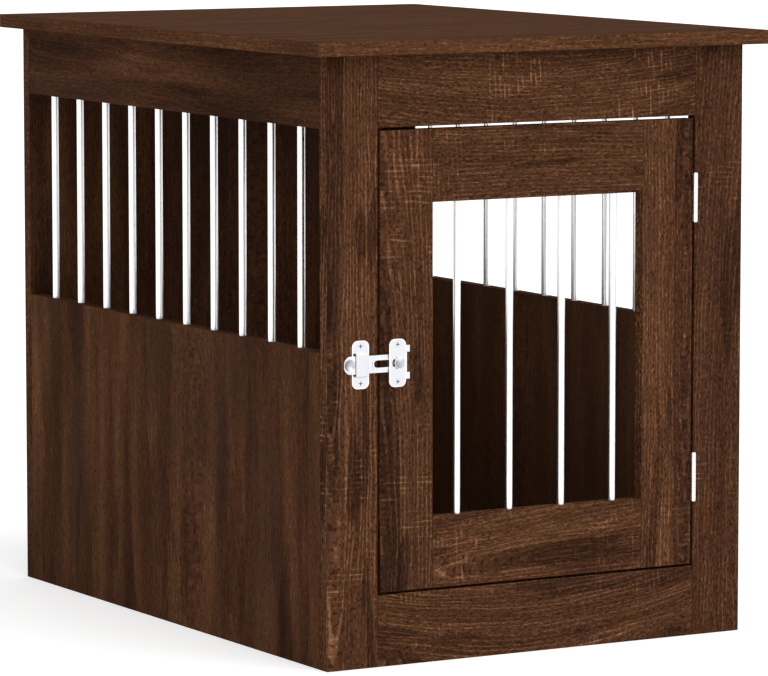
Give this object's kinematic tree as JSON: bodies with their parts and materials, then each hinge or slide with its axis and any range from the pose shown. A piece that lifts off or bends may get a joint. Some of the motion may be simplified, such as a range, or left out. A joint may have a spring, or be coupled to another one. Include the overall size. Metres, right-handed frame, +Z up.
{
  "type": "dog crate end table",
  "caption": "Board-built dog crate that doubles as an end table, with barred side windows, a hinged barred door and a slide latch.",
  "frame": {"origin": "on the ground, below the middle of the table top", "axes": "+X right along the front, front facing -Y, +Z up"},
  "size_m": [0.55, 0.75, 0.65],
  "materials": {
    "oak_board": "satin brown oak laminate on board",
    "oak_top": "satin brown oak laminate on board",
    "oak_door": "satin brown oak laminate on board",
    "dowel_beech": "raw fluted beech",
    "bar_steel": "bright plated tube",
    "hinge_steel": "bright nickel plate",
    "latch_steel": "satin nickel plate",
    "screw_steel": "zinc-plated steel",
    "cam_zinc": "plain zinc casting and plated steel",
    "bumper_rubber": "matt rubber"
  },
  "bodies": {
    "crate": {"side_dowels": "dowel_beech", "top_dowels": "dowel_beech", "frame_dowels": "dowel_beech", "back_screws": "screw_steel", "frame_cam_bolts": "cam_zinc", "frame_cam_discs": "cam_zinc", "top_cam_bolts": "cam_zinc", "top_cam_discs": "cam_zinc", "side_bars_left": "bar_steel", "side_bars_right": "bar_steel", "side_panel_left": "oak_board", "side_panel_right": "oak_board", "side_rail_left": "oak_board", "side_rail_right": "oak_board", "floor_cleat_left": "oak_board", "floor_cleat_right": "oak_board", "cleat_screws": "screw_steel", "floor_panel": "oak_board", "back_panel": "oak_board", "table_top": "oak_top", "upper_hinge_frame_leaf": "hinge_steel", "upper_hinge_pin": "hinge_steel", "lower_hinge_frame_leaf": "hinge_steel", "lower_hinge_pin": "hinge_steel", "hinge_frame_screws": "screw_steel", "latch_keeper": "latch_steel", "keeper_screws": "screw_steel", "door_stop": "oak_board", "door_stop_screws": "screw_steel", "door_bumper": "bumper_rubber", "front_stile_left": "oak_board", "front_stile_right": "oak_board", "plinth_rail": "oak_board", "header_rail": "oak_board"},
    "door": {"door_stile_left": "oak_door", "door_stile_right": "oak_door", "door_rail_top": "oak_door", "door_rail_bottom": "oak_door", "door_bars": "bar_steel", "door_dowels": "dowel_beech", "upper_hinge_door_leaf": "hinge_steel", "lower_hinge_door_leaf": "hinge_steel", "hinge_door_screws": "screw_steel", "latch_base": "latch_steel", "latch_cover": "latch_steel", "latch_screws": "screw_steel", "latch_stud": "latch_steel"},
    "latch_bar": {"latch_bar": "latch_steel"}
  },
  "joints": [
    {"name": "door_hinge", "type": "hinge", "parent": "crate", "child": "door", "pos_m": [0.1935, -0.358, 0], "axis": [0, 0, 1], "range_deg": [0, 180]},
    {"name": "latch_slide", "type": "slide", "parent": "door", "child": "latch_bar", "axis": [-1, 0, 0], "range_m": [0, 0.011]}
  ]
}
